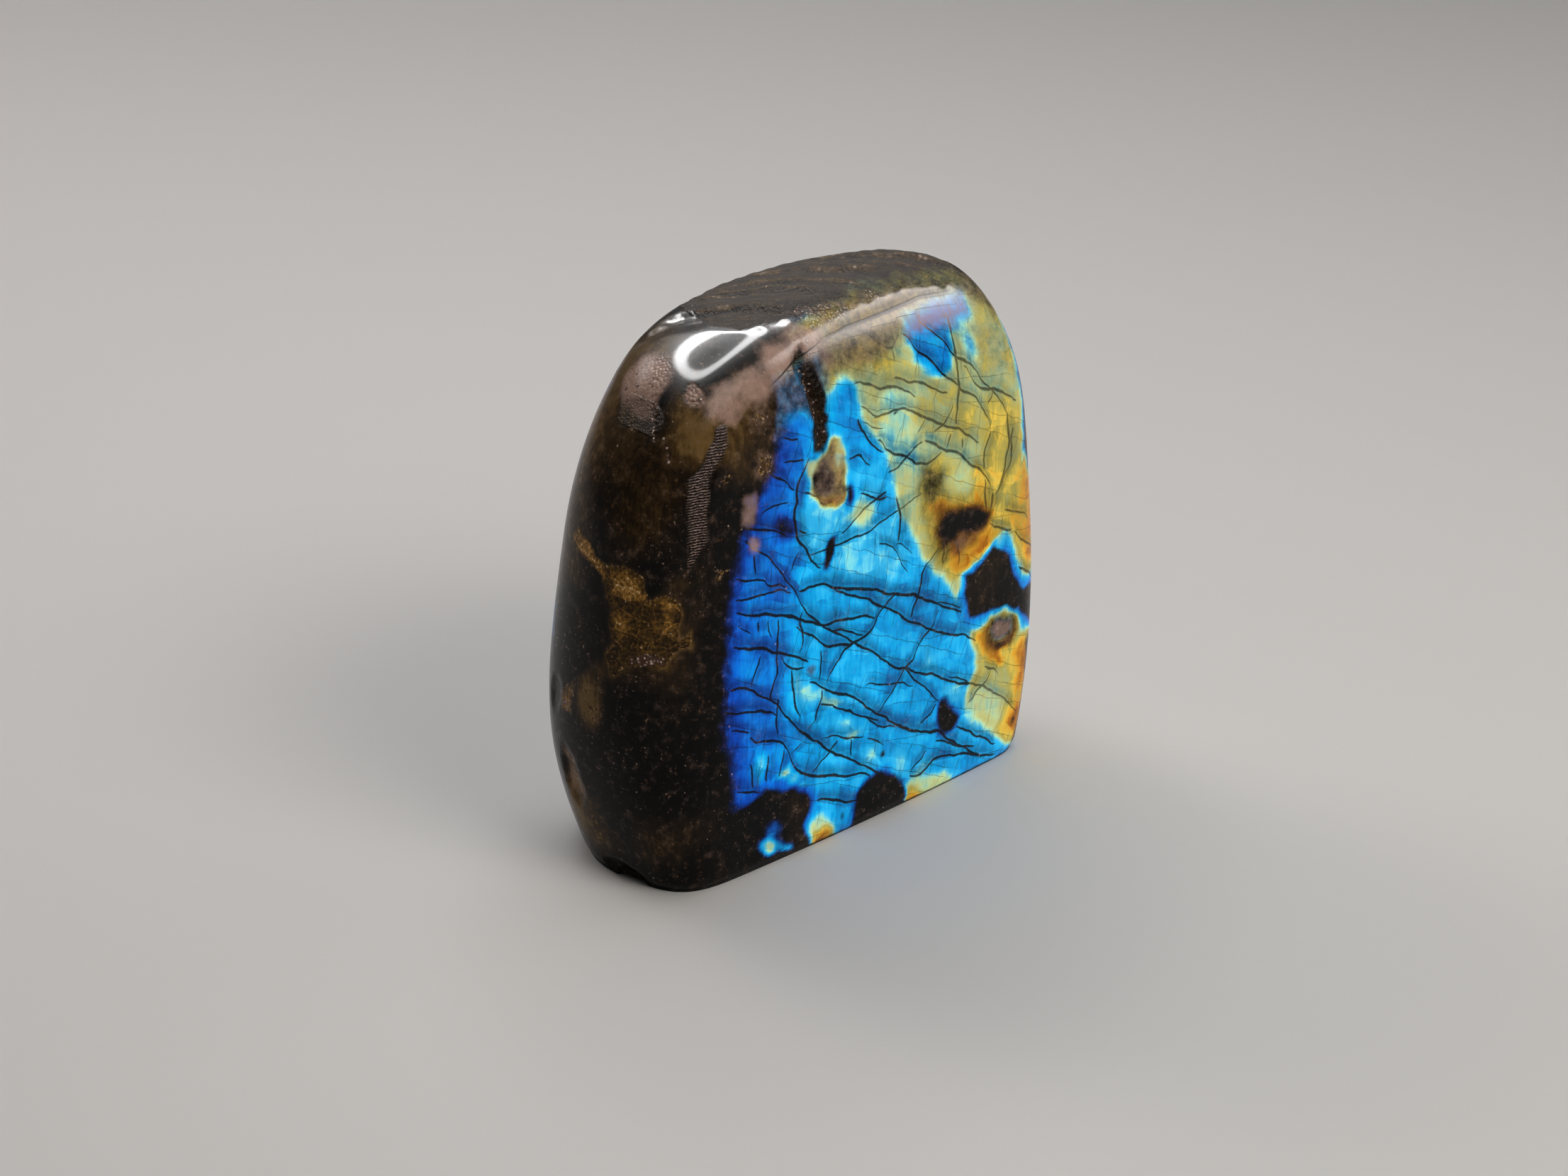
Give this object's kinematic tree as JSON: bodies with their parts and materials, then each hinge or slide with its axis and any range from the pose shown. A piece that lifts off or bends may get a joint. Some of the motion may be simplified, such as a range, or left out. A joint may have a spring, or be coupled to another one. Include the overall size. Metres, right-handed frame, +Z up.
{
  "type": "polished labradorite",
  "caption": "Free-standing polished feldspar with a blue and gold iridescent face, a dark end and a broken top, sawn flat to stand upright.",
  "frame": {"origin": "under the middle of the stone, on the sawn base that it stands on", "axes": "+Z up, +X along the width towards the gold end, -Y out of the iridescent face"},
  "size_m": [0.0982, 0.042, 0.0981],
  "materials": {
    "polished_labradorite": "lapped and polished dark feldspar, iridescent on one face, with a rough broken top"
  },
  "bodies": {
    "root": {"labradorite": "polished_labradorite"}
  },
  "joints": []
}
